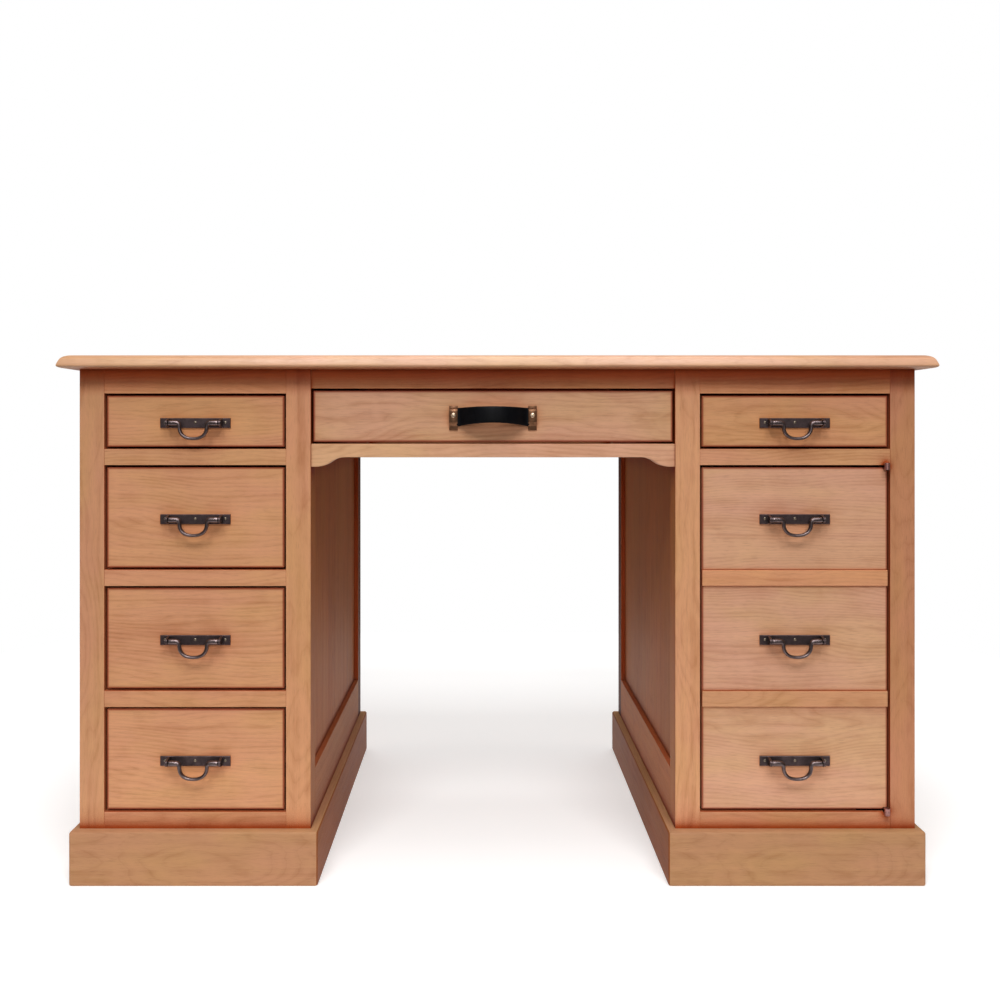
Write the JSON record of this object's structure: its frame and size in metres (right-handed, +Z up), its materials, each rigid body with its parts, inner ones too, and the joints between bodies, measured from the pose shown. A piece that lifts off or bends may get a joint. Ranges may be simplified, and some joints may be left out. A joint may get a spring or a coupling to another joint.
{
  "type": "desk",
  "caption": "Wooden twin-pedestal kneehole desk with inset drawers, a cupboard door faced as drawers, shaped apron, bail handles and a leather strap pull.",
  "frame": {"origin": "on the floor, below the middle of the desk's top", "axes": "+X to the right seen from the front, along the desk; +Y to the back, so the drawers face -Y; +Z up"},
  "size_m": [1.286, 0.656, 0.78],
  "materials": {
    "case_wood": "satin oiled hardwood, reddish tan",
    "inner_wood": "planed, paler hardwood inside",
    "dark_metal": "dark bronzed, worn at the edges",
    "brass": "worn brass",
    "leather": "black, slightly glossy"
  },
  "bodies": {
    "carcass": {"desktop": "case_wood", "left_posts": "case_wood", "left_frame_rails": "case_wood", "left_panels": "case_wood", "left_front_rails": "case_wood", "left_runners": "inner_wood", "left_plinth": "case_wood", "right_posts": "case_wood", "right_frame_rails": "case_wood", "right_panels": "case_wood", "right_front_rails": "case_wood", "right_runners": "inner_wood", "right_plinth": "case_wood", "cupboard_floor": "inner_wood", "cupboard_shelf": "inner_wood", "shelf_cleats": "inner_wood", "hinge_frame_leaves": "dark_metal", "centre_top_rail": "case_wood", "front_apron": "case_wood", "rear_apron": "case_wood", "centre_runners": "inner_wood"},
    "left_drawer_1": {"left_drawer_1_front": "case_wood", "left_drawer_1_box": "inner_wood", "left_drawer_1_bottom": "inner_wood", "left_handle_1_plate": "dark_metal"},
    "left_handle_1_bail": {"left_handle_1_bail": "dark_metal"},
    "left_drawer_2": {"left_drawer_2_front": "case_wood", "left_drawer_2_box": "inner_wood", "left_drawer_2_bottom": "inner_wood", "left_handle_2_plate": "dark_metal"},
    "left_handle_2_bail": {"left_handle_2_bail": "dark_metal"},
    "left_drawer_3": {"left_drawer_3_front": "case_wood", "left_drawer_3_box": "inner_wood", "left_drawer_3_bottom": "inner_wood", "left_handle_3_plate": "dark_metal"},
    "left_handle_3_bail": {"left_handle_3_bail": "dark_metal"},
    "left_drawer_4": {"left_drawer_4_front": "case_wood", "left_drawer_4_box": "inner_wood", "left_drawer_4_bottom": "inner_wood", "left_handle_4_plate": "dark_metal"},
    "left_handle_4_bail": {"left_handle_4_bail": "dark_metal"},
    "right_drawer": {"right_drawer_front": "case_wood", "right_drawer_box": "inner_wood", "right_drawer_bottom": "inner_wood", "right_handle_plate": "dark_metal"},
    "right_handle_bail": {"right_handle_bail": "dark_metal"},
    "centre_drawer": {"centre_drawer_front": "case_wood", "centre_drawer_box": "inner_wood", "centre_drawer_bottom": "inner_wood", "strap_handle": "leather", "strap_clips": "dark_metal", "strap_screws": "brass"},
    "door": {"door_leaf": "case_wood", "door_false_rails": "case_wood", "hinge_door_leaves": "dark_metal", "door_handle_plates": "dark_metal"},
    "door_handle_1_bail": {"door_handle_1_bail": "dark_metal"},
    "door_handle_2_bail": {"door_handle_2_bail": "dark_metal"},
    "door_handle_3_bail": {"door_handle_3_bail": "dark_metal"}
  },
  "joints": [
    {"name": "left_drawer_1_slide", "type": "slide", "parent": "carcass", "child": "left_drawer_1", "axis": [0, -1, 0], "range_m": [0, 0.42]},
    {"name": "left_handle_1_swing", "type": "hinge", "parent": "left_drawer_1", "child": "left_handle_1_bail", "pos_m": [-0.447, -0.3135, 0.6804], "axis": [-1, 0, 0], "range_deg": [-10, 165]},
    {"name": "left_drawer_2_slide", "type": "slide", "parent": "carcass", "child": "left_drawer_2", "axis": [0, -1, 0], "range_m": [0, 0.42]},
    {"name": "left_handle_2_swing", "type": "hinge", "parent": "left_drawer_2", "child": "left_handle_2_bail", "pos_m": [-0.447, -0.3135, 0.5379], "axis": [-1, 0, 0], "range_deg": [-10, 165]},
    {"name": "left_drawer_3_slide", "type": "slide", "parent": "carcass", "child": "left_drawer_3", "axis": [0, -1, 0], "range_m": [0, 0.42]},
    {"name": "left_handle_3_swing", "type": "hinge", "parent": "left_drawer_3", "child": "left_handle_3_bail", "pos_m": [-0.447, -0.3135, 0.3589], "axis": [-1, 0, 0], "range_deg": [-10, 165]},
    {"name": "left_drawer_4_slide", "type": "slide", "parent": "carcass", "child": "left_drawer_4", "axis": [0, -1, 0], "range_m": [0, 0.42]},
    {"name": "left_handle_4_swing", "type": "hinge", "parent": "left_drawer_4", "child": "left_handle_4_bail", "pos_m": [-0.447, -0.3135, 0.1799], "axis": [-1, 0, 0], "range_deg": [-10, 165]},
    {"name": "right_drawer_slide", "type": "slide", "parent": "carcass", "child": "right_drawer", "axis": [0, -1, 0], "range_m": [0, 0.42]},
    {"name": "right_handle_swing", "type": "hinge", "parent": "right_drawer", "child": "right_handle_bail", "pos_m": [0.44075, -0.3135, 0.6804], "axis": [-1, 0, 0], "range_deg": [-10, 165]},
    {"name": "centre_drawer_slide", "type": "slide", "parent": "carcass", "child": "centre_drawer", "axis": [0, -1, 0], "range_m": [0, 0.42]},
    {"name": "door_hinge", "type": "hinge", "parent": "carcass", "child": "door", "pos_m": [0.5751, -0.3077, 0.3615], "axis": [0, 0, 1], "range_deg": [0, 170]},
    {"name": "door_handle_1_swing", "type": "hinge", "parent": "door", "child": "door_handle_1_bail", "pos_m": [0.44075, -0.3135, 0.538], "axis": [-1, 0, 0], "range_deg": [-10, 165]},
    {"name": "door_handle_2_swing", "type": "hinge", "parent": "door", "child": "door_handle_2_bail", "pos_m": [0.44075, -0.3135, 0.359], "axis": [-1, 0, 0], "range_deg": [-10, 165]},
    {"name": "door_handle_3_swing", "type": "hinge", "parent": "door", "child": "door_handle_3_bail", "pos_m": [0.44075, -0.3135, 0.18], "axis": [-1, 0, 0], "range_deg": [-10, 165]}
  ]
}
